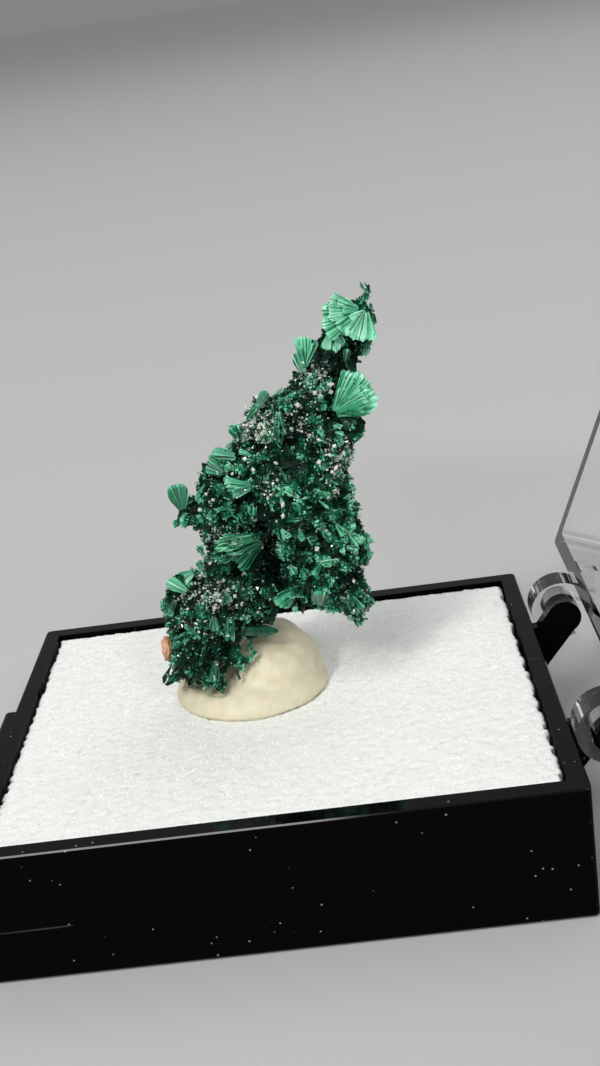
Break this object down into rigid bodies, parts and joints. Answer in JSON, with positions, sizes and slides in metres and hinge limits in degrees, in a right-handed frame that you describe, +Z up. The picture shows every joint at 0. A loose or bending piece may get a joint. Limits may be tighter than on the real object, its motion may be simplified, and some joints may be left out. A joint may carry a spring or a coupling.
{
  "type": "malachite thumbnail specimen in a hinged display box",
  "caption": "Leaning lump of fibrous malachite stuck with cream putty to the foam pad of a small black tray, under a clear lid that hinges open to rest on the table.",
  "frame": {"origin": "centre of the tray's underside, on the surface that the box stands on", "axes": "+Z up, +X towards the hinge, +Y away from the viewer of the picture"},
  "size_m": [0.0708, 0.027, 0.0389],
  "materials": {
    "tray": "glossy black injection-moulded styrene with dust specks and hairline scuffs",
    "foam": "white granular packing foam, torn and sparkling on top",
    "putty": "cream mineral putty, smoothed by finger",
    "malachite": "silky fibrous fans from mint to black-green with drusy sparkle",
    "clear_lid": "clear polished styrene"
  },
  "bodies": {
    "box": {"box_base": "tray", "foam_pad": "foam", "putty": "putty", "malachite": "malachite"},
    "lid": {"lid": "clear_lid"}
  },
  "joints": [
    {"name": "lid_hinge", "type": "hinge", "parent": "box", "child": "lid", "pos_m": [0.01787, 0, 0.00765], "axis": [0, 1, 0], "range_deg": [-112, 95.9]}
  ]
}
